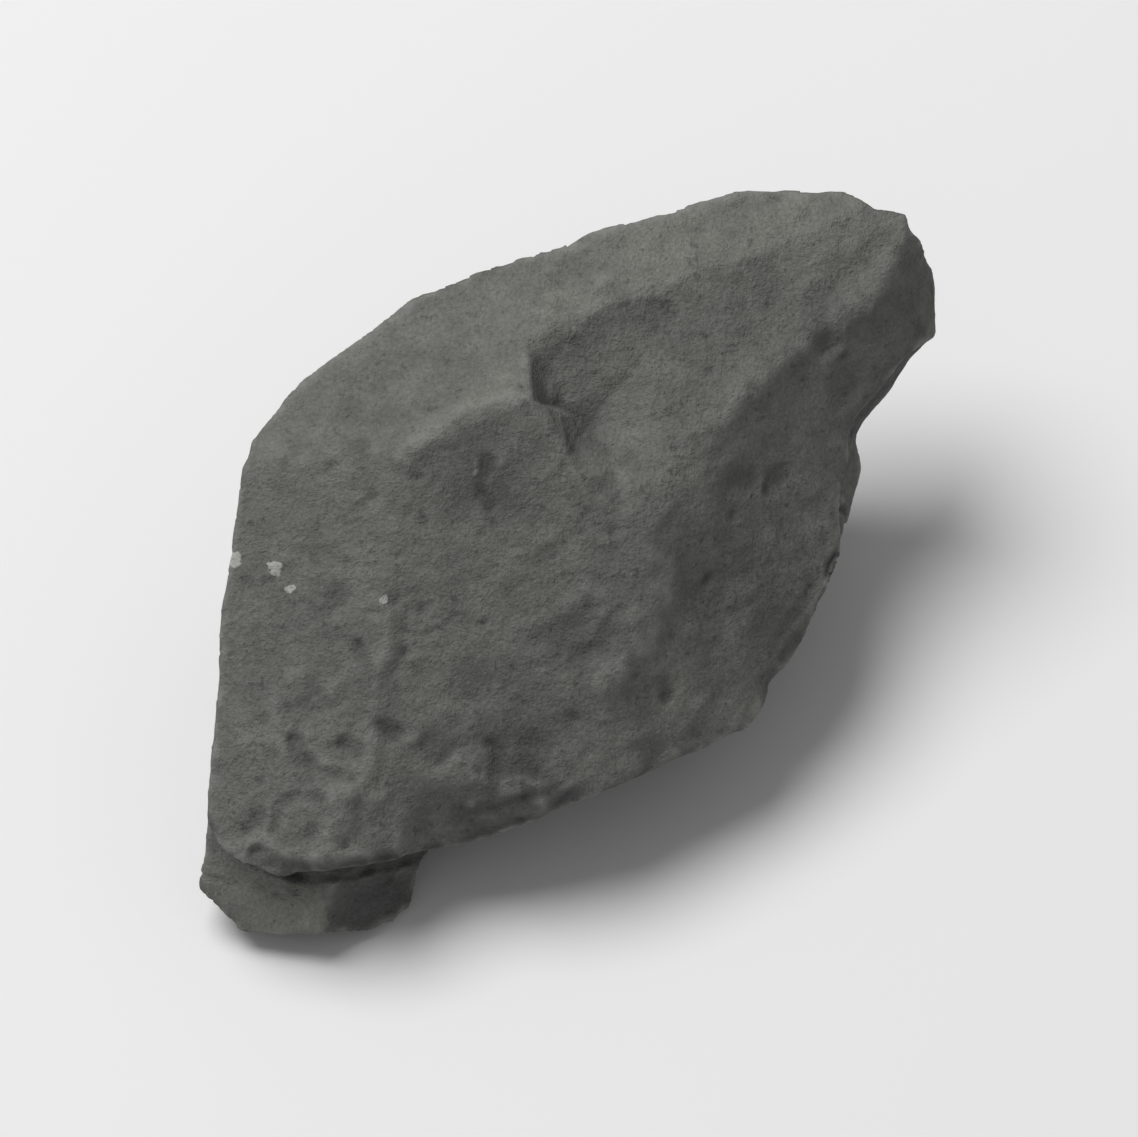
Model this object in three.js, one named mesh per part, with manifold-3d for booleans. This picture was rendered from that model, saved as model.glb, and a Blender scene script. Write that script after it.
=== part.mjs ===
// A lump of shungite: one piece of crushed, matt, near-black carbon stone.
// Millimetres, +Z up, +X along the longest side, front towards -Y.
// The stone is a block with flat breaks knocked off it, then corner chips and shallow hollows.
// A lower step, the foot, stands out below its front. Underneath is a small flat spot to rest on.

import * as THREE from 'three';
import { mergeVertices } from 'three/addons/utils/BufferGeometryUtils.js';
import Module from 'manifold-3d';

// Driving dimensions, in millimetres and degrees, seen from the heart of the stone.

const BLOCK_SIZE = 60; // the uncut block
const REST_DEPTH = 10; // from the heart down to the flat resting spot
const STONE_COLOR = 0x64665f;

// A break is one flat face. azimuth is the compass direction it faces, turning from +X to +Y.
// tilt is how far it looks up (+) or down (-). reach is its distance from the heart.

const REST = { azimuth: 270, tilt: -90, reach: REST_DEPTH };

const CROWN = [
  { azimuth: 184, tilt: 80, reach: 10.9 }, // sloping left part of the top
  { azimuth: 0, tilt: 86, reach: 11 }, // nearly level right part of the top
];

const FRONT = [
  { azimuth: 279, tilt: 52, reach: 6.4 }, // broad main face
  { azimuth: 251, tilt: 55, reach: 8.8 }, // left part of the main face
  { azimuth: 308, tilt: 41, reach: 7.2 }, // right flank
  { azimuth: 341, tilt: 24, reach: 14.5 }, // end face of the horn
];

const BACK = [
  { azimuth: 138, tilt: 9, reach: 14.4 },
  { azimuth: 128, tilt: 9, reach: 13.8 },
  { azimuth: 110, tilt: -4, reach: 11.2 },
  { azimuth: 92, tilt: -6, reach: 14.7 },
  { azimuth: 64, tilt: 6, reach: 21.9 },
];

const SIDES = [
  { azimuth: 14, tilt: -5, reach: 21.8 }, // tip of the horn
  { azimuth: 343, tilt: -16, reach: 13.4 }, // below the horn
  { azimuth: 340, tilt: -20, reach: 12.8 },
  { azimuth: 333, tilt: -24, reach: 12.3 },
  { azimuth: 167, tilt: -4, reach: 15.4 }, // left wall
  { azimuth: 171, tilt: -4, reach: 15.9 },
];

const UNDERSIDE = [
  { azimuth: 298, tilt: -33, reach: 11.3 }, // below the right flank
  { azimuth: 276, tilt: -38, reach: 13.6 }, // overhang above the foot
  { azimuth: 246, tilt: -36, reach: 18.7 },
  { azimuth: 190, tilt: -50, reach: 15 }, // below the left wall
  { azimuth: 270, tilt: -70, reach: 11.6 },
  { azimuth: 99, tilt: -35, reach: 12 }, // below the back wall
  { azimuth: 340, tilt: -60, reach: 11.6 },
  { azimuth: 35, tilt: -52, reach: 13.2 }, // below the horn
];

const FOOT = [
  { azimuth: 252, tilt: 38, reach: 11.5 }, // lit front of the step
  { azimuth: 309, tilt: 20, reach: 3.1 }, // its right side, in shade
  { azimuth: 347, tilt: -11, reach: -2.2 },
  { azimuth: 270, tilt: -33, reach: 18.9 },
  { azimuth: 208, tilt: -30, reach: 24.6 },
  { azimuth: 165, tilt: -2, reach: 14.3 },
  { azimuth: 200, tilt: -45, reach: 21 },
  { azimuth: 270, tilt: -89, reach: 9.85 }, // its underside, just clear of the ground
  { azimuth: 270, tilt: 78, reach: 0.2 }, // this face and the next are buried in the lump
  { azimuth: 90, tilt: 0, reach: -3 },
];

// A chip takes away whatever lies outside all of its breaks at once.

const SHOULDER_CHIP = [
  { azimuth: 303, tilt: 66, reach: 7.4 }, // floor, along the right half of the crest
  { azimuth: 4, tilt: 39, reach: 6 }, // short wall that ends it on the left
];

const LOWER_CHIP = [
  { azimuth: 273, tilt: 26, reach: 10.5 }, // steep bevel below the main face
  { azimuth: 335, tilt: 28, reach: -2 }, // its left wall
];

const BACK_CHIP = [
  { azimuth: 98, tilt: -12, reach: 10.8 }, // lower part of the back wall
  { azimuth: 100, tilt: -75, reach: -1.5 }, // narrow ledge over it
  { azimuth: 25, tilt: 10, reach: -3 }, // end of the ledge on the left
];

// A hollow is where a shell-shaped flake came away: the dish that a ball would press.

const HOLLOWS = [
  { x: 28.2, y: -12.2, z: 23.4, radius: 30 }, // right flank, under the horn
  { x: 30.5, y: 1.1, z: -0.6, radius: 16 }, // wall behind the right flank
  { x: -2.2, y: 32.7, z: 0.4, radius: 21 }, // back wall
];

const wasm = await Module();
wasm.setup();

function toSolid(geometry) {
  geometry.deleteAttribute('normal');
  geometry.deleteAttribute('uv');
  const welded = mergeVertices(geometry, 1e-4);
  const mesh = new wasm.Mesh({
    numProp: 3,
    vertProperties: new Float32Array(welded.attributes.position.array),
    triVerts: new Uint32Array(welded.index.array),
  });
  return new wasm.Manifold(mesh);
}

function toGeometry(solid) {
  const mesh = solid.getMesh();
  const geometry = new THREE.BufferGeometry();
  geometry.setAttribute('position', new THREE.BufferAttribute(mesh.vertProperties, 3));
  geometry.setIndex(new THREE.BufferAttribute(mesh.triVerts, 1));
  return geometry;
}

function outward({ azimuth, tilt }) {
  const turn = THREE.MathUtils.degToRad(azimuth);
  const lift = THREE.MathUtils.degToRad(tilt);
  const level = Math.cos(lift);
  return new THREE.Vector3(level * Math.cos(turn), level * Math.sin(turn), Math.sin(lift));
}

// Everything outside one break, as a large cube with its near face on the break.
function outside(facet) {
  const size = 2 * BLOCK_SIZE;
  const cube = new THREE.BoxGeometry(size, size, size);
  cube.translate(0, 0, size / 2 + facet.reach);
  const up = new THREE.Vector3(0, 0, 1);
  cube.applyQuaternion(new THREE.Quaternion().setFromUnitVectors(up, outward(facet)));
  return toSolid(cube);
}

function cleave(breaks) {
  const block = toSolid(new THREE.BoxGeometry(BLOCK_SIZE, BLOCK_SIZE, BLOCK_SIZE));
  return breaks.reduce((stone, facet) => stone.subtract(outside(facet)), block);
}

function chip(breaks) {
  return breaks.map(outside).reduce((common, cube) => common.intersect(cube));
}

function ball({ x, y, z, radius }) {
  const sphere = new THREE.SphereGeometry(radius, 96, 64);
  sphere.translate(x, y, z);
  return toSolid(sphere);
}

const lump = cleave([...CROWN, ...FRONT, ...BACK, ...SIDES, ...UNDERSIDE, REST])
  .subtract(chip(SHOULDER_CHIP))
  .subtract(chip(LOWER_CHIP))
  .subtract(chip(BACK_CHIP));
const hollowed = HOLLOWS.reduce((stone, hollow) => stone.subtract(ball(hollow)), lump);
const stone = toGeometry(hollowed.add(cleave(FOOT)));

// Origin at the middle of the resting side.
stone.computeBoundingBox();
const { min, max } = stone.boundingBox;
stone.translate(-(min.x + max.x) / 2, -(min.y + max.y) / 2, -min.z);
stone.computeVertexNormals();

const material = new THREE.MeshStandardMaterial({ color: STONE_COLOR, roughness: 0.9, metalness: 0 });
const rock = new THREE.Mesh(stone, material);
rock.name = 'shungite_rock';

const part = new THREE.Group();
part.name = 'shungite';
part.add(rock);

export default part;
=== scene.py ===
"""Looks of one lump of crushed shungite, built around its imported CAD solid.

The stone is sculpted in millimetres, as arrays of points, and placed in Blender in metres.
Marks that belong to one place on the front are given by pixels of the photograph, which the
script turns into millimetres right and up from the middle of the stone, as the camera sees it.
Lengths are in mm unless they carry MM.
"""

import math

import bpy
import numpy as np
from mathutils import Matrix, Vector, kdtree, noise


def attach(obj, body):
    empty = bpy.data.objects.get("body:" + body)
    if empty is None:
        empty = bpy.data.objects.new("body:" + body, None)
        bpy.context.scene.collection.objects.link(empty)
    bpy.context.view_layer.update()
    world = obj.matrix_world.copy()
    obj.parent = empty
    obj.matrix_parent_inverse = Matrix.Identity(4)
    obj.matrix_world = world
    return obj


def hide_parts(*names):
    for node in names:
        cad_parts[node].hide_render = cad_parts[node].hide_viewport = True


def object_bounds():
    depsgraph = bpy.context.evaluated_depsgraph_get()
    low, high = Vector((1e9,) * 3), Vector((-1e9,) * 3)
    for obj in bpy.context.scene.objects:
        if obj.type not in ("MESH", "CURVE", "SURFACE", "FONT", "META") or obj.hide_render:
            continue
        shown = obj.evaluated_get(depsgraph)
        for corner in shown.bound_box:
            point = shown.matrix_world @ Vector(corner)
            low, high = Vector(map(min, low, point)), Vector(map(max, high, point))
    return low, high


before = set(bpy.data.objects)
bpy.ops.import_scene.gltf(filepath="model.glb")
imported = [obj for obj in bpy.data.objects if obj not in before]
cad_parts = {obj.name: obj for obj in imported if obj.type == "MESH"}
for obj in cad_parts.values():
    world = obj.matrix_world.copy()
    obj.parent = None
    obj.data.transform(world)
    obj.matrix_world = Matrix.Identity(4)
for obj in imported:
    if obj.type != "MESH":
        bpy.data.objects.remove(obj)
cad_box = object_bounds()

MM = 0.001
STONE = "shungite_rock"
SEED = 7

# The photograph's view.
CAMERA_ELEVATION = math.radians(60)
CAMERA_DISTANCE = 1000 * MM
CAMERA_NEAREST = 10 * MM
VIEW_WIDTH = 58 * MM  # how much the picture spans at the stone
SENSOR_WIDTH = 36.0  # the camera's sensor, in Blender's own millimetres
VIEW_RIGHT = np.array([1.0, 0.0, 0.0])
VIEW_UP = np.array([0.0, math.sin(CAMERA_ELEVATION), math.cos(CAMERA_ELEVATION)])
VIEW_BACK = np.array([0.0, -math.cos(CAMERA_ELEVATION), math.sin(CAMERA_ELEVATION)])

# The photograph's scale, and the pixel where the middle of the stone is seen.
MM_PER_PIXEL = 0.3
MIDDLE_PIXEL = (601.7, 779.6)

# Cosines of the skin's facing to the camera: where the front begins and is whole, and below
# which a face counts as hidden.
FRONT_FACING = (0.0, 0.3)
HIDDEN_FACING = 0.1

# Wear of the stone's edges. Each round of smoothing moves a point halfway to the mean of its
# neighbours.
VOXEL = 0.21
CRISP_ROUNDS = 2
WORN_ROUNDS = 14
CORNER_ROUNDS = 260
LIP_ROUNDS = 60  # a cut in the front takes the underside of a thin lip along
LIP_SHARE = (0.1, 0.4)  # how much front there is around a point for a cut to begin and be whole
WEAR_PATCH = 9  # stretches of edge about this long are crisp or worn
WORN_CORNERS = [  # pixel, radius
    ((549, 757), 2.2), ((660, 722), 1.0), ((637, 800), 1.4), ((574, 819), 2.0),
]
HEEL = np.array([-14.0, -2.4, 1.0])  # a worn corner at the back of the foot
HEEL_RADIUS = 4.5

# Marks on the front: pixels of the photograph, then mm. A core and a reach are shares of a
# mark's radius or half width: it has its full depth up to the core, and ends at the reach.
NUDGES = [  # pixel, radius, shift right, shift up
    ((655, 757), 2.2, -0.9, 0.0), ((600, 727), 2.4, 0.0, -0.7), ((556, 749), 3.0, -0.3, 0.3),
    ((549, 756), 1.8, -0.5, 0.3), ((659, 722), 2.2, 0.6, 0.5), ((662, 740), 1.8, 0.4, -0.2),
    ((636, 805), 2.0, 0.3, -0.3),
]
DENTS = [  # pixel, radius, depth
    ((590, 767), 1.6, 0.18), ((582, 771), 1.2, 0.14), ((574, 769), 1.1, 0.12),
    ((556, 759), 0.9, 0.20), ((565, 760), 0.8, 0.18), ((563, 785), 0.9, 0.21),
    ((558, 777), 0.7, 0.14), ((608, 767), 0.8, 0.17),
    ((631, 765), 0.9, 0.22), ((637, 764), 0.8, 0.20), ((636, 759), 0.9, 0.15),
    ((645, 740), 1.1, 0.33), ((618, 737), 0.8, 0.12), ((612, 762), 0.8, 0.15),
    ((556, 814), 0.8, 0.22), ((563, 811), 0.8, 0.20), ((571, 807), 0.8, 0.24),
    ((548, 822), 0.7, 0.21), ((579, 811), 1.0, 0.15), ((585, 799), 1.4, 0.15),
    ((599, 792), 1.0, 0.15), ((618, 800), 0.7, 0.20), ((616, 812), 1.0, 0.22),
    ((648, 779), 0.8, 0.30), ((596, 809), 1.0, 0.10), ((558, 803), 1.0, 0.12),
    ((611, 733), 0.8, 0.11), ((570, 746), 1.0, 0.09), ((648, 748), 1.2, 0.15),
]
DENT_CORE = 0.3
DENT_REACH = 1.4
DENT_SHADE = 1.6  # painted shade in a dent, for each mm of depth
RIDGES = [  # pixels, half width, height
    ([(574, 760), (584, 753.5), (592, 750.5)], 0.63, 0.19),
    ([(571, 788), (569, 797), (569, 804), (567, 812), (563, 822), (560, 829)], 0.55, 0.24),
    ([(617, 777), (617, 785), (613, 793), (608, 798)], 0.90, 0.26),
    ([(656, 729), (647, 737), (638, 743.5), (630, 750), (622, 757.5)], 0.63, 0.16),
    ([(556, 799), (552, 803), (553, 809), (556, 815)], 0.50, 0.19),
    ([(568, 796), (561, 800)], 0.45, 0.16),
    ([(641, 724), (650, 719)], 0.45, 0.16),
    ([(644, 727), (652, 722)], 0.45, 0.14),
    ([(585, 819), (593, 817.5), (600, 815)], 0.32, 0.14),
    ([(586, 823), (594, 820.5), (602, 816.5)], 0.32, 0.16),
    ([(591, 781), (593, 777), (598, 775)], 0.45, 0.14),
    ([(560, 824), (561, 819), (565, 817), (569, 819)], 0.45, 0.16),
    ([(601, 786), (605, 783), (609, 786), (606, 790)], 0.45, 0.14),
]
RIDGE_REACH = 2
RIDGE_HIGHLIGHT = 3  # painted highlight along a ridge, for each mm of height
GROOVES = [  # pixels, half width, depth
    ([(549, 828.4), (554, 830.6), (558, 831.4), (562, 831), (569, 829.8), (579, 827.8)], 0.36, 0.6),
    ([(555.3, 808.5), (556.8, 815.5)], 0.30, 0.24), ([(563.5, 809), (566, 810.5)], 0.32, 0.24),
    ([(560, 814.5), (564, 815)], 0.30, 0.20), ([(565.5, 792.5), (567.5, 796)], 0.30, 0.20),
    ([(551.5, 824), (552.5, 820), (556, 817.8), (559.5, 819)], 0.25, 0.18),
    ([(553, 826.5), (558, 824.5), (561, 821)], 0.25, 0.16),
    ([(587.8, 761), (587, 765), (588.3, 769)], 0.30, 0.24),
    ([(580, 812), (583, 809), (587, 808.5), (590, 811), (589, 815)], 0.25, 0.15),
    ([(638, 795), (646, 784)], 0.22, 0.15),
    ([(636, 793), (643, 783)], 0.22, 0.12),
]
GROOVE_CORE = 0.4
GROOVE_REACH = 2
GROOVE_SHADOW = 0.3  # painted shadow in a groove, added to the depth
CREASES = [  # pixels, reach, fall to the right of the path, paleness gained left and lost right: painted light on the left and painted shade on the right
    ([(596, 743), (608, 734.5), (618, 733), (624, 729), (641, 723.5)], 6.0, 0.16, 0.35),
    ([(570, 763), (574, 760), (584, 753.5), (592, 750.5), (597, 751)], 3.5, 0.16, 0.30),
    ([(657, 728), (647, 737), (638, 743.5), (622, 757.5), (614, 767)], 3.5, 0.10, 0.20),
    ([(561, 844), (560, 838), (560, 831)], 3.0, 0.12, 0.35),
]
CREASE_END = 0.15  # the share of its length over which a crease fades at each end
NOTCH = {  # the corners of a small step with two dark walls, and their depth
    "a": ((594, 741), 0), "b": ((595.3, 750.5), 0), "c": ((600, 753), 0), "d": ((602, 760.5), 0),
    "e": ((598.5, 745.5), 0.55), "f": ((601.5, 752), 0.8), "g": ((605.5, 754), 1.1),
    "h": ((604, 735), 0), "i": ((615, 743), 0), "j": ((619, 756), 0), "k": ((610, 766), 0),
}
NOTCH_FACES = "abe bfe bcf cgf cdg aeh ehi efi fgi gij gjk gdk"
DUST_AND_LIGHT_SHARES = [  # pixel, radius, paler or darker than the slope makes it: painted light and painted shade, added to the dust
    ((634, 782), 8.0, -0.55), ((592, 806), 6.0, -0.45), ((607, 790), 4.0, -0.35),
    ((594, 820), 4.5, -1.3), ((569, 837), 3.5, -0.8), ((596, 751), 1.6, -0.4),
    ((603, 757), 1.6, -0.6), ((588, 766), 4.0, -0.45), ((653, 742), 5.0, -0.3),
    ((557, 790), 7.0, -0.15), ((613, 773), 4.0, -0.25), ((625, 738), 4.0, -0.2),
    ((618, 724), 4.5, 0.6), ((641, 719), 4.0, 0.4), ((551, 837), 4.0, 0.9),
    ((574, 761), 0.8, 0.7), ((586, 751), 1.2, 0.4), ((656, 735), 2.5, -0.3),
    ((604, 790), 3.0, -0.3),
]
FLECKS = [  # pixel, radius of a pale grain
    ((545, 778), 0.55), ((552, 779.5), 0.6), ((554, 783), 0.4), ((570, 785), 0.35),
]
FLECK_SPREAD = 1.4  # such a grain fades out at this many radii

# How far marks wander from their places, and the share of it that each kind takes.
WANDER = 0.35
RIDGE_WANDER = 0.6
GROOVE_WANDER = 0.3
CREASE_WANDER = 0.5
NOTCH_WANDER = 0.15
FLECK_WANDER = 0.3

# Relief over the whole stone.
RELIEF = [  # size of the bumps, height, how creased they are, 0 to 1
    (11, 0.28, 0.0), (5.5, 0.16, 0.0), (2.8, 0.09, 0.2),
    (1.5, 0.05, 0.3), (0.85, 0.036, 0.3), (0.5, 0.026, 0.0),
]
FACETS = [  # size, slope: flat patches, each tilted its own way
    (7.0, 0.07), (3.2, 0.09), (1.5, 0.09),
]
FACET_SPREAD = 0.6  # how much their slopes differ, before they are scaled
FACET_WARP = 0.35
FACET_SOFTNESS = 0.12
STAIRS = [  # size, number of steps, height, share taken by the riser
    (9.0, 2.0, 0.24, 0.08), (5.0, 1.2, 0.10, 0.12),
]
STAIR_WIGGLE = 0.15
PATCH = 6  # facets and stairs come and go over patches about this size
FRONT_CALM = 0.45  # how much of the relief is missing on the front
GRAIN_ANGLE = math.radians(35)  # the lie of the stone's grain, as the camera sees it
GRAIN_STRETCH = 0.45  # how much longer bumps are along the grain: 0 not at all, 1 endless

# Flakes knocked off the edges, scars and cracks on the hidden faces, and pits. A range is from
# the least to the most.
FLAKE_COUNT = 110
FLAKE_SPACING = 1.8
FLAKE_RADIUS = (3, 12)
FLAKE_DEPTH = (0.1, 0.4)
FLAKED_EDGE = 0.05  # flakes come off where an edge stands out this much
FLAKE_TILT = 0.08  # how far a flake's own facing strays from the skin's
FLAKE_CORE = 1.2  # a flake cuts in full up to this many of its half widths
FLAKE_REACH = 2  # and not beyond this many
FLAKE_DEEPEST = 1.5  # the deepest it cuts, as a share of its depth
FLAKE_FACING = (0, 0.4)  # cosines of the skin's facing to the flake's: no cut, and a full one
SCAR_COUNT = 18
SCAR_SPACING = 6.0
SCAR_RADIUS = (8, 20)
SCAR_DEPTH = (0.2, 0.6)
FRONT_GUARD = 0.8  # how much of each flake and step the front is spared
PIT_COUNT = 150
PIT_SPACING = 1.5
PIT_RADIUS = (0.25, 0.75)
PIT_DEPTH = 0.22  # as a share of the radius
PIT_RAGGEDNESS = 0.12
CRACK_COUNT = 7
CRACK_SPACING = 6
CRACK_REACH = (4, 8)
CRACK_HALF_WIDTH = 0.4
CRACK_DEPTH = 0.30
CRACK_WANDER = 0.5
FLECK_COUNT = 24
FLECK_SPACING = 2.0
FLECK_RADIUS = (0.25, 0.5)

REST_BAND = 0.06  # the underside below this height belongs to the resting spot
CLEAR_HEIGHT = 1.2  # flakes, pits and cracks start above this

# The noise, and its seeds. A field that is made several times counts on from its seed.
NOISE_SHIFT = 31.7  # how many bumps away the noise of the next seed lies
NOISE_GAIN = 1.6  # brings Blender's noise to about -1 to 1
WEAR_NOISE = 1
RELIEF_NOISE = 2
WANDER_NOISE = 21
GROOVE_NOISE = 23
PIT_NOISE = 24
FLAKE_NOISE = 31
RELIEF_SHARE_NOISE = 40
WARP_NOISE = 51
FACET_SHARE_NOISE = 54
STAIR_NOISE = 58
CRACK_NOISE = 61
STAIR_WIGGLE_NOISE = 62
STAIR_SHARE_NOISE = 66
FACET_DRAW = 70

# How far a point stands out from the skin around it, for wear to show there and painted shade in
# hollows.
NEAR_ROUNDS = 12
WIDE_ROUNDS = 60
STANDING_OUT = (0.01, 0.09)
WIDE_STANDING_OUT = (0.08, 0.25)
HOLLOW_SHADE = 0.6  # painted shade of a hollow as deep as a fully worn edge stands out
DUST_AND_LIGHT_SLOPES = (-0.3, 0.95)  # the skin is paler where it faces up this much: dust, and painted shade on what faces down

# The stone goes from its fresh colour to the dusty colour with dust and painted light; the fresh
# colour also stands as painted shade on what faces down.
FRESH_AND_SHADED_COLOUR = (0.083, 0.086, 0.082, 1)
DUST_AND_LIGHT_COLOUR = (0.19, 0.191, 0.172, 1)
# Paler on worn edges, and a painted highlight along ridges.
WORN_AND_HIGHLIGHT_COLOUR = (0.24, 0.24, 0.224, 1)
FLECK_COLOUR = (0.46, 0.46, 0.43, 1)
# Painted shade in hollows, dents and grooves.
PAINTED_SHADE_COLOUR = (0.05, 0.052, 0.049, 1)
FULL_DUST_AND_LIGHT = 1.4  # the dust and painted light at which the stone is as pale as they make it
MARK_STRENGTH = 0.9  # how much of their own colour the painted shade in hollows and the flecks have
STONE_ROUGHNESS = (0.72, 0.92)
STONE_SPECULAR = 0.3
NODE_NOISE = (0.3, 0.7)  # most of a noise node's values lie between these
GRIT = [  # size, detail, roughness, kind, depth: roughness too fine for the mesh
    (1.4, 4, 0.6, "RIDGED_MULTIFRACTAL", 0.2), (0.45, 3, 0.65, "FBM", 0.18),
    (0.13, 3, 0.65, "FBM", 0.08),
]

FLOOR_HALF = 2000 * MM
FLOOR_COLOUR = (0.9, 0.9, 0.9, 1)
LIGHT_DIRECTION = (-0.35, 0.25, 0.9)
LIGHT_DISTANCE = 600 * MM
LIGHT_SIZE = 400 * MM
LIGHT_POWER = 3.0
STUDIO_COLOUR = (1, 1, 1, 1)
STUDIO_STRENGTH = 0.25

rng = np.random.default_rng(SEED)
middle = np.array((Vector(cad_box[0]) + Vector(cad_box[1])) / 2) / MM


# Points and their neighbours.

def dense_copy(source):
    """Points in mm, and quads, of an even closed copy of a node."""
    mesh = source.data.copy()
    mesh.transform(source.matrix_world)
    mesh.transform(Matrix.Scale(1 / MM, 4))
    copy = bpy.data.objects.new("even_copy", mesh)
    bpy.context.scene.collection.objects.link(copy)
    remesh = copy.modifiers.new("even", "REMESH")
    remesh.mode = "VOXEL"
    remesh.voxel_size = VOXEL
    shown = copy.evaluated_get(bpy.context.evaluated_depsgraph_get())
    made = bpy.data.meshes.new_from_object(shown)
    points = np.empty(len(made.vertices) * 3)
    made.vertices.foreach_get("co", points)
    corners = np.empty(len(made.loops), int)
    made.loops.foreach_get("vertex_index", corners)
    bpy.data.objects.remove(copy)
    return points.reshape(-1, 3), corners.reshape(-1, 4)


def spread(values, at, count):
    """Sum of rows of values at each index."""
    return np.stack([np.bincount(at, values[:, k], count) for k in range(values.shape[1])], 1)


def unit(vectors):
    return vectors / np.maximum(np.linalg.norm(vectors, axis=-1, keepdims=True), 1e-12)


class Skin:
    """The stone's surface: its quads and who is next to whom."""

    def __init__(self, quads, count):
        self.quads = quads
        self.count = count
        sides = np.concatenate([quads[:, [k, (k + 1) % 4]] for k in range(4)])
        sides = np.unique(np.sort(sides, 1), axis=0)
        self.both = np.concatenate([sides, sides[:, ::-1]])
        self.neighbours = np.bincount(self.both[:, 0], minlength=count)[:, None]

    def average(self, values):
        """Mean of each point's neighbours."""
        return spread(values[self.both[:, 1]], self.both[:, 0], self.count) / self.neighbours

    def smoothed(self, values, rounds):
        for _ in range(rounds):
            values = (values + self.average(values)) / 2
        return values

    def normals(self, points):
        a, b, c, d = (points[self.quads[:, k]] for k in range(4))
        facing = np.cross(c - a, d - b)
        total = sum(spread(facing, self.quads[:, k], self.count) for k in range(4))
        return unit(total)

    def standing_out(self, points, facing, rounds):
        """How far each point stands out from the skin around it."""
        return np.sum((points - self.smoothed(points, rounds)) * facing, 1)


# Fields over the surface.

def bumps(points, size, seed):
    """Smooth noise from about -1 to 1, with bumps about size mm across."""
    shifted = points / size + NOISE_SHIFT * seed
    return np.array([noise.noise(p) for p in shifted.tolist()]) * NOISE_GAIN


def bumps_each_way(points, size, seed, ways=3):
    """Columns of such noise, each its own."""
    return np.stack([bumps(points, size, seed + k) for k in range(ways)], 1)


def ramp(values, low, high):
    """0 at low, 1 at high, easing in and out."""
    t = np.clip((values - low) / (high - low), 0, 1)
    return t * t * (3 - 2 * t)


def fade(values, low, high):
    """1 at low, 0 at high, easing in and out."""
    return 1 - ramp(values, low, high)


def bell(distance, radius):
    """1 in the middle, 0 from the radius on."""
    return fade(distance, 0, radius)


def seen(pixel):
    """A pixel of the photograph as mm right and up from the middle of the stone."""
    x, y = pixel
    return np.array([x - MIDDLE_PIXEL[0], MIDDLE_PIXEL[1] - y]) * MM_PER_PIXEL


def in_view(points):
    """Each point as mm right and up from the middle, as the camera sees it."""
    offset = points - middle
    nearness = CAMERA_DISTANCE / MM / (CAMERA_DISTANCE / MM - offset @ VIEW_BACK)
    return np.stack([offset @ VIEW_RIGHT, offset @ VIEW_UP], 1) * nearness[:, None]


def from_point(points, point):
    """Distance to a point."""
    return np.linalg.norm(points - point, axis=1)


def from_path(view, pixels):
    """Distance to a path, the side it lies on (1 is left), and how far along it, 0 to 1."""
    corners = np.array([seen(p) for p in pixels])
    best = np.full(len(view), np.inf)
    side = np.zeros(len(view))
    along = np.zeros(len(view))
    lengths = np.linalg.norm(np.diff(corners, axis=0), axis=1)
    starts = np.concatenate([[0], np.cumsum(lengths)])
    for k, (a, b) in enumerate(zip(corners, corners[1:])):
        t = np.clip((view - a) @ (b - a) / lengths[k] ** 2, 0, 1)
        off = view - a - t[:, None] * (b - a)
        distance = np.linalg.norm(off, axis=1)
        nearer = distance < best
        turn = (b - a)[0] * off[:, 1] - (b - a)[1] * off[:, 0]
        best = np.where(nearer, distance, best)
        side = np.where(nearer, np.sign(turn), side)
        along = np.where(nearer, (starts[k] + t * lengths[k]) / starts[-1], along)
    return best, side, along


def tent(view, corners):
    """Depth inside a triangle of (pixel, depth) corners, going evenly from one to the next."""
    a, b, c = (seen(pixel) for pixel, depth in corners)
    share = np.linalg.solve(np.stack([b - a, c - a], 1), (view - a).T)
    shares = np.stack([1 - share.sum(0), share[0], share[1]])
    depths = np.array([depth for pixel, depth in corners])
    return np.where(np.all(shares >= 0, 0), depths @ shares, 0)


def nearest(points, seeds, count):
    """Distances from each point to its nearest seeds, and which seeds those are."""
    tree = kdtree.KDTree(len(seeds))
    for k, seed in enumerate(seeds.tolist()):
        tree.insert(seed, k)
    tree.balance()
    found = [tree.find_n(p, count) for p in points.tolist()]
    away = np.array([[f[2] for f in row] for row in found])
    which = np.array([[f[1] for f in row] for row in found])
    return away, which


def spots(points, seeds, radii):
    """1 at each seed, 0 from its radius on, and the radius of each point's nearest seed."""
    away, which = nearest(points, seeds, 1)
    radius = rng.uniform(*radii, len(seeds))[which[:, 0]]
    return bell(away[:, 0], radius), radius


def patches(points, size, seed):
    """Height of flat patches about size mm across, each with a slope of up to about 1."""
    low, high = points.min(0) - size, points.max(0) + size
    count = int(np.prod(high - low) / size ** 3)
    draw = np.random.default_rng(seed)
    seeds = draw.uniform(low, high, (count, 3))
    slopes = draw.normal(0, FACET_SPREAD, (count, 3))
    away, which = nearest(points, seeds, 3)
    share = np.exp((away[:, :1] ** 2 - away ** 2) / (FACET_SOFTNESS * size ** 2))
    height = np.sum((points[:, None] - seeds[which]) * slopes[which], 2)
    return np.sum(share * height, 1) / np.sum(share, 1)


def stairs(field, riser):
    """Steps at whole values of a field, each riser taking a share of its step."""
    tread = np.floor(field)
    return tread + ramp(field - tread, 1 - riser, 1)


def apart(candidates, points, count, spacing):
    """Up to count of the candidates, taken at random and no nearer each other than spacing."""
    taken = []
    for k in rng.permutation(candidates):
        if len(taken) == count:
            break
        if all(np.linalg.norm(points[k] - points[t]) > spacing for t in taken):
            taken.append(k)
    return taken


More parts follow.
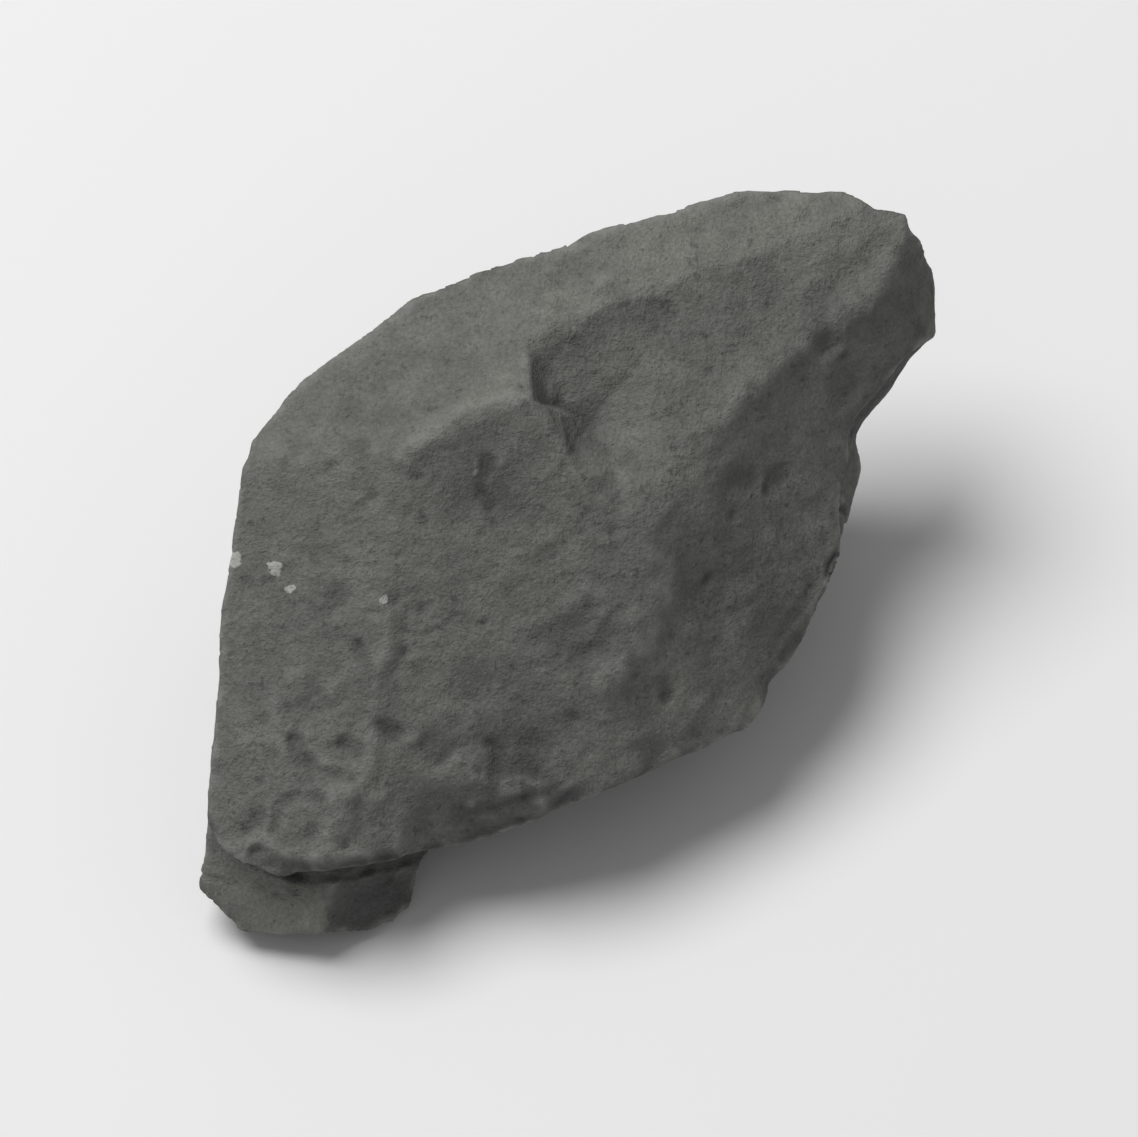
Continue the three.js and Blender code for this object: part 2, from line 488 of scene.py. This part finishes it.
def flaked(points, facing, at, radius, depth, ragged, share):
    """The points with a shell-shaped flake off: those inside a ball go out to its surface."""
    outward = unit(facing[at] + rng.normal(0, FLAKE_TILT, 3))
    away = points - points[at] - outward * (radius - depth)
    distance = np.maximum(np.linalg.norm(away, axis=1), 1e-6)
    width = math.sqrt(2 * radius * depth)
    near = fade(from_point(points, points[at]), FLAKE_CORE * width, FLAKE_REACH * width)
    cut = np.clip(radius - distance + ragged * depth, 0, FLAKE_DEEPEST * depth)
    cut *= near * ramp(facing @ outward, *FLAKE_FACING)
    return points + away * (cut * share / distance)[:, None]


# Sculpting: wear.

points, quads = dense_copy(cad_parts[STONE])
skin = Skin(quads, len(points))
crisp = skin.smoothed(points, CRISP_ROUNDS)
worn = skin.smoothed(crisp, WORN_ROUNDS)
blunt = skin.smoothed(worn, CORNER_ROUNDS)
broad = skin.normals(worn)
edge = np.sum((crisp - worn) * broad, 1)
clear = points[:, 2] > CLEAR_HEIGHT
hidden = broad @ VIEW_BACK < HIDDEN_FACING
front = ramp(broad @ VIEW_BACK, *FRONT_FACING)
unguarded = 1 - FRONT_GUARD * front

share = ramp(bumps(points, WEAR_PATCH, WEAR_NOISE), low=-0.4, high=0.9)[:, None]
shape = crisp + (worn - crisp) * share
view = in_view(points)
blunted = [bell(from_point(view, seen(pixel)), radius) for pixel, radius in WORN_CORNERS]
blunted.append(bell(from_point(points, HEEL), HEEL_RADIUS))
for near in blunted:
    shape = shape + (blunt - shape) * near[:, None]
for pixel, radius, right, up in NUDGES:
    near = bell(from_point(view, seen(pixel)), radius)[:, None]
    shape = shape + near * (right * VIEW_RIGHT + up * VIEW_UP)

# Sculpting: the broken surface. Creased bumps are highest where the noise crosses zero.
grain = math.cos(GRAIN_ANGLE) * VIEW_RIGHT + math.sin(GRAIN_ANGLE) * VIEW_UP
lying = points - GRAIN_STRETCH * np.outer(points @ grain, grain)
relief = np.zeros(len(points))
for k, (size, height, creased) in enumerate(RELIEF):
    field = bumps(lying, size, RELIEF_NOISE + k)
    field = (1 - creased) * field + creased * (0.6 - 2 * np.abs(field))
    relief += height * (0.7 + 0.5 * bumps(points, 3 * size, RELIEF_SHARE_NOISE + k)) * field
warped = points + FACET_WARP * bumps_each_way(points, size=1.5, seed=WARP_NOISE)
for k, (size, slope) in enumerate(FACETS):
    here = ramp(bumps(points, PATCH, FACET_SHARE_NOISE + k), low=-0.5, high=0.5)
    relief += slope * here * patches(warped, size, FACET_DRAW + k)
for k, (size, steps, height, riser) in enumerate(STAIRS):
    field = steps * bumps(points, size, STAIR_NOISE + k)
    field += STAIR_WIGGLE * steps * bumps(points, size / 3, STAIR_WIGGLE_NOISE + k)
    here = ramp(bumps(points, PATCH, STAIR_SHARE_NOISE + k), low=-0.3, high=0.3) * unguarded
    relief += height * here * (stairs(field, riser) - field)
relief *= 1 - FRONT_CALM * front
shape = shape + broad * relief[:, None]

# Sculpting: flakes.
ragged = 0.4 * bumps(points, size=2.4, seed=FLAKE_NOISE)
ragged += 0.2 * bumps(points, size=1.0, seed=FLAKE_NOISE + 1)
chipped = np.nonzero((edge > FLAKED_EDGE) & clear)[0]
for k in apart(chipped, points, FLAKE_COUNT, FLAKE_SPACING):
    radius, depth = rng.uniform(*FLAKE_RADIUS), rng.uniform(*FLAKE_DEPTH)
    shape = flaked(shape, broad, k, radius, depth, ragged, unguarded)
scarred = np.nonzero(hidden & clear)[0]
for k in apart(scarred, points, SCAR_COUNT, SCAR_SPACING):
    radius, depth = rng.uniform(*SCAR_RADIUS), rng.uniform(*SCAR_DEPTH)
    shape = flaked(shape, broad, k, radius, depth, ragged, unguarded)

# Sculpting: marks on the front. A mark moves points along the skin's own facing, and a cut
# moves them straight away from the camera.
broad = skin.normals(skin.smoothed(shape, WORN_ROUNDS))
front = ramp(broad @ VIEW_BACK, *FRONT_FACING)
view = in_view(shape)
wander = WANDER * bumps_each_way(shape, size=1.6, seed=WANDER_NOISE, ways=2)
marks = np.zeros(len(shape))
cuts = np.zeros(len(shape))
# Painted shade in dents and grooves, painted highlights along ridges and painted light and shade
# along creases are gathered here for the colour.
ridge_highlight = np.zeros(len(shape))
painted_shade = np.zeros(len(shape))
crease_light = np.zeros(len(shape))
for pixel, radius, depth in DENTS:
    away = from_point(view + wander, seen(pixel))
    near = fade(away, DENT_CORE * radius, DENT_REACH * radius)
    marks -= depth * near
    # Painted shade in the dent.
    painted_shade = np.maximum(painted_shade, DENT_SHADE * depth * near ** 3)
for pixels, width, height in RIDGES:
    away, side, along = from_path(view + RIDGE_WANDER * wander, pixels)
    near = bell(away, RIDGE_REACH * width)
    marks += height * near
    # Painted highlight along the ridge.
    ridge_highlight = np.maximum(ridge_highlight, RIDGE_HIGHLIGHT * height * near ** 2)
uneven = 0.7 + 0.3 * bumps(shape, size=0.9, seed=GROOVE_NOISE)
for pixels, width, depth in GROOVES:
    away, side, along = from_path(view + GROOVE_WANDER * wander, pixels)
    near = fade(away, GROOVE_CORE * width, GROOVE_REACH * width) * uneven
    cuts = np.maximum(cuts, depth * near)
    # Painted shadow in the groove.
    painted_shade = np.maximum(painted_shade, (GROOVE_SHADOW + depth) * near)
for pixels, reach, fall, gain in CREASES:
    away, side, along = from_path(view + CREASE_WANDER * wander, pixels)
    ends = ramp(along, 0, CREASE_END) * fade(along, 1 - CREASE_END, 1)
    near = ends * np.clip(1 - away / reach, 0, 1) ** 2
    marks -= fall * away * near * (side < 0)
    # Painted light on the left of the crease and painted shade on its right.
    crease_light += gain * side * near
for face in NOTCH_FACES.split():
    marks -= tent(view + NOTCH_WANDER * wander, [NOTCH[letter] for letter in face])
marks *= front
cuts *= ramp(skin.smoothed(front[:, None], LIP_ROUNDS)[:, 0], *LIP_SHARE)

# Sculpting: pits and cracks.
pits = apart(np.nonzero(clear)[0], points, PIT_COUNT, PIT_SPACING)
torn = shape + PIT_RAGGEDNESS * bumps_each_way(shape, size=0.7, seed=PIT_NOISE)
near, radius = spots(torn, shape[pits], PIT_RADIUS)
marks -= PIT_DEPTH * radius * near
for k in apart(np.nonzero(hidden & clear)[0], points, CRACK_COUNT, CRACK_SPACING):
    across = unit(np.cross(broad[k], rng.normal(0, 1, 3)))
    off = np.abs((shape - shape[k]) @ across + CRACK_WANDER * bumps(shape, 2, CRACK_NOISE))
    ends = bell(from_point(shape, shape[k]), rng.uniform(*CRACK_REACH))
    marks -= CRACK_DEPTH * bell(off, CRACK_HALF_WIDTH) * ends
sculpted = shape + broad * marks[:, None] - np.outer(cuts, VIEW_BACK)

# The resting spot stays flat.
low = fade(points[:, 2], REST_BAND, 4 * REST_BAND)
sculpted[:, 2] = sculpted[:, 2] * (1 - low) + np.maximum(points[:, 2], 0) * low
sculpted[:, 2] = np.maximum(sculpted[:, 2], 0)


# The finished piece.

def make_piece(name, points, quads, **fields):
    """A mesh piece, with each field as a value at every point."""
    mesh = bpy.data.meshes.new(name)
    mesh.from_pydata((points * MM).tolist(), [], quads.tolist())
    mesh.shade_smooth()
    for field, values in fields.items():
        mesh.attributes.new(field, "FLOAT", "POINT").data.foreach_set("value", values)
    piece = bpy.data.objects.new(name, mesh)
    bpy.context.scene.collection.objects.link(piece)
    return piece


class Nodes:
    """Short calls for the nodes of one material."""

    def __init__(self, material):
        material.use_nodes = True
        self.tree = material.node_tree
        self.shader = self.tree.nodes["Principled BSDF"]
        self.place = self.tree.nodes.new("ShaderNodeTexCoord").outputs["Object"]

    def put(self, socket, value):
        if isinstance(value, bpy.types.NodeSocket):
            self.tree.links.new(value, socket)
        else:
            socket.default_value = value

    def field(self, name):
        node = self.tree.nodes.new("ShaderNodeAttribute")
        node.attribute_name = name
        return node.outputs["Fac"]

    def noise(self, size, detail=2.0, roughness=0.5, kind="FBM"):
        """Noise with bumps about size mm across."""
        node = self.tree.nodes.new("ShaderNodeTexNoise")
        node.noise_type = kind
        self.put(node.inputs["Vector"], self.place)
        node.inputs["Scale"].default_value = 1 / (size * MM)
        node.inputs["Detail"].default_value = detail
        node.inputs["Roughness"].default_value = roughness
        return node.outputs["Fac"]

    def span(self, value, low, high, start=0.0, end=1.0):
        """A value's stretch from low to high, as start to end."""
        node = self.tree.nodes.new("ShaderNodeMapRange")
        for socket, number in zip(node.inputs, (value, low, high, start, end)):
            self.put(socket, number)
        return node.outputs["Result"]

    def varied(self, start, end, size, detail, roughness=0.5):
        """A value that varies from start to end, over bumps about size mm across."""
        return self.span(self.noise(size, detail, roughness), *NODE_NOISE, start, end)

    def math(self, operation, a, b):
        node = self.tree.nodes.new("ShaderNodeMath")
        node.operation = operation
        self.put(node.inputs[0], a)
        self.put(node.inputs[1], b)
        return node.outputs["Value"]

    def mix(self, share, a, b, blend="MIX"):
        """Colour a, going to b as share goes to 1."""
        node = self.tree.nodes.new("ShaderNodeMix")
        node.data_type = "RGBA"
        node.blend_type = blend
        self.put(node.inputs["Factor"], share)
        self.put(node.inputs["A"], a)
        self.put(node.inputs["B"], b)
        return [o for o in node.outputs if o.type == "RGBA"][0]

    def bump(self, height, depth, below=None):
        """A bump of depth mm from a height field, over another bump."""
        node = self.tree.nodes.new("ShaderNodeBump")
        node.inputs["Distance"].default_value = depth * MM
        self.put(node.inputs["Height"], height)
        if below is not None:
            self.put(node.inputs["Normal"], below)
        return node.outputs["Normal"]


def stone_material():
    """Dark stone, paler under grey dust and painted light, with painted shade on what faces down,
    paler where worn and with painted highlights along ridges, painted shade in hollows, and pale
    flecks.
    """
    material = bpy.data.materials.new("shungite")
    n = Nodes(material)
    # Dust and painted light make the stone paler; the fresh colour also stands as painted shade.
    dust = n.math("ADD", n.field("dust"), n.varied(-0.25, 0.25, size=2.5, detail=3))
    colour = n.mix(n.span(dust, low=0, high=FULL_DUST_AND_LIGHT), FRESH_AND_SHADED_COLOUR, DUST_AND_LIGHT_COLOUR)
    mottle = n.varied(0.87, 1.13, size=1.1, detail=4, roughness=0.6)
    grain = n.varied(0.80, 1.20, size=0.2, detail=3, roughness=0.65)
    speck = n.span(n.noise(size=0.45), low=0.64, high=0.70, start=1.0, end=0.7)
    shade = n.math("MULTIPLY", n.math("MULTIPLY", mottle, grain), speck)
    colour = n.mix(1.0, colour, shade, "MULTIPLY")
    patchy = n.span(n.noise(size=0.9, detail=3), low=0.4, high=0.6, start=0.15, end=0.85)
    # Paler on worn edges, and a painted highlight along the ridges.
    colour = n.mix(n.math("MULTIPLY", n.field("worn"), patchy), colour, WORN_AND_HIGHLIGHT_COLOUR)
    # Painted shade in hollows, dents and grooves.
    hollow = n.span(n.field("hollow"), low=0, high=1, start=0, end=MARK_STRENGTH)
    colour = n.mix(hollow, colour, PAINTED_SHADE_COLOUR)
    fleck = n.math("ADD", n.field("fleck"), n.varied(-0.3, 0.3, size=0.35, detail=3))
    fleck = n.span(fleck, low=0.5, high=0.65, start=0, end=MARK_STRENGTH)
    colour = n.mix(fleck, colour, FLECK_COLOUR)
    n.put(n.shader.inputs["Base Color"], colour)
    n.put(n.shader.inputs["Roughness"], n.varied(*STONE_ROUGHNESS, size=0.8, detail=3))
    n.shader.inputs["Specular IOR Level"].default_value = STONE_SPECULAR
    normal = None
    for size, detail, roughness, kind, depth in GRIT:
        normal = n.bump(n.noise(size, detail, roughness, kind), depth, normal)
    n.put(n.shader.inputs["Normal"], normal)
    return material


facing = skin.normals(sculpted)
standing_out = skin.standing_out(sculpted, facing, NEAR_ROUNDS)
edges = ramp(skin.standing_out(sculpted, facing, WIDE_ROUNDS), *WIDE_STANDING_OUT)
# Paler on worn edges, with a painted highlight along the ridges.
wear_and_highlight = np.maximum(np.maximum(ramp(standing_out, *STANDING_OUT), edges), ridge_highlight)
# Painted shade in hollows, dents and grooves.
hollow = np.maximum(HOLLOW_SHADE * ramp(-standing_out, *STANDING_OUT), painted_shade * front)

view = in_view(sculpted)
# Paler on what faces up: dust, and painted shade on what faces down; painted light and shade along
# the creases and at the listed spots.
dust = ramp(skin.smoothed(facing, NEAR_ROUNDS)[:, 2], *DUST_AND_LIGHT_SLOPES) + crease_light * front
for pixel, radius, share in DUST_AND_LIGHT_SHARES:
    dust += share * front * bell(from_point(view, seen(pixel)), radius)

# Flecks are twice as ragged as pits.
off_front = np.nonzero(clear & (front < 0.5))[0]
flecks = apart(off_front, points, FLECK_COUNT, FLECK_SPACING)
fleck, radius = spots(2 * torn - sculpted, sculpted[flecks], FLECK_RADIUS)
for pixel, radius in FLECKS:
    away = from_point(view + FLECK_WANDER * wander, seen(pixel))
    fleck = np.maximum(fleck, front * bell(away, FLECK_SPREAD * radius))

# The fields carry dust with painted light and shade, wear with painted highlights, and painted
# shade in hollows.
stone = make_piece(
    "shungite_stone", sculpted, quads, dust=dust, worn=wear_and_highlight, hollow=hollow, fleck=fleck,
)
stone.data.materials.append(stone_material())
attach(stone, "root")
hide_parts(STONE)


# Stage.

def make_floor():
    mesh = bpy.data.meshes.new("floor")
    signs = [(-1, -1), (1, -1), (1, 1), (-1, 1)]
    mesh.from_pydata([(x * FLOOR_HALF, y * FLOOR_HALF, 0) for x, y in signs], [], [(0, 1, 2, 3)])
    floor = bpy.data.objects.new("floor", mesh)
    bpy.context.scene.collection.objects.link(floor)
    material = bpy.data.materials.new("floor")
    material.use_nodes = True
    shader = material.node_tree.nodes["Principled BSDF"]
    shader.inputs["Base Color"].default_value = FLOOR_COLOUR
    shader.inputs["Roughness"].default_value = 1.0
    shader.inputs["Specular IOR Level"].default_value = 0.0
    floor.data.materials.append(material)


def aim_from(thing, direction, distance):
    """Place a light or camera out in a direction from the stone's middle, looking at it."""
    away = Vector(direction).normalized()
    thing.location = Vector(middle * MM) + away * distance
    thing.rotation_euler = away.to_track_quat("Z", "Y").to_euler()
    bpy.context.scene.collection.objects.link(thing)


def make_light():
    data = bpy.data.lights.new("key", "AREA")
    data.shape = "DISK"
    data.size = LIGHT_SIZE
    data.energy = LIGHT_POWER
    aim_from(bpy.data.objects.new("key", data), LIGHT_DIRECTION, LIGHT_DISTANCE)


def make_camera():
    data = bpy.data.cameras.new("camera")
    data.sensor_width = SENSOR_WIDTH
    data.lens = SENSOR_WIDTH * CAMERA_DISTANCE / VIEW_WIDTH
    data.clip_start = CAMERA_NEAREST
    camera = bpy.data.objects.new("camera", data)
    aim_from(camera, VIEW_BACK, CAMERA_DISTANCE)
    bpy.context.scene.camera = camera


def make_world():
    world = bpy.data.worlds.new("studio")
    world.use_nodes = True
    background = world.node_tree.nodes["Background"]
    background.inputs["Color"].default_value = STUDIO_COLOUR
    background.inputs["Strength"].default_value = STUDIO_STRENGTH
    bpy.context.scene.world = world


make_floor()
make_light()
make_camera()
make_world()
bpy.context.scene.view_settings.view_transform = "Standard"
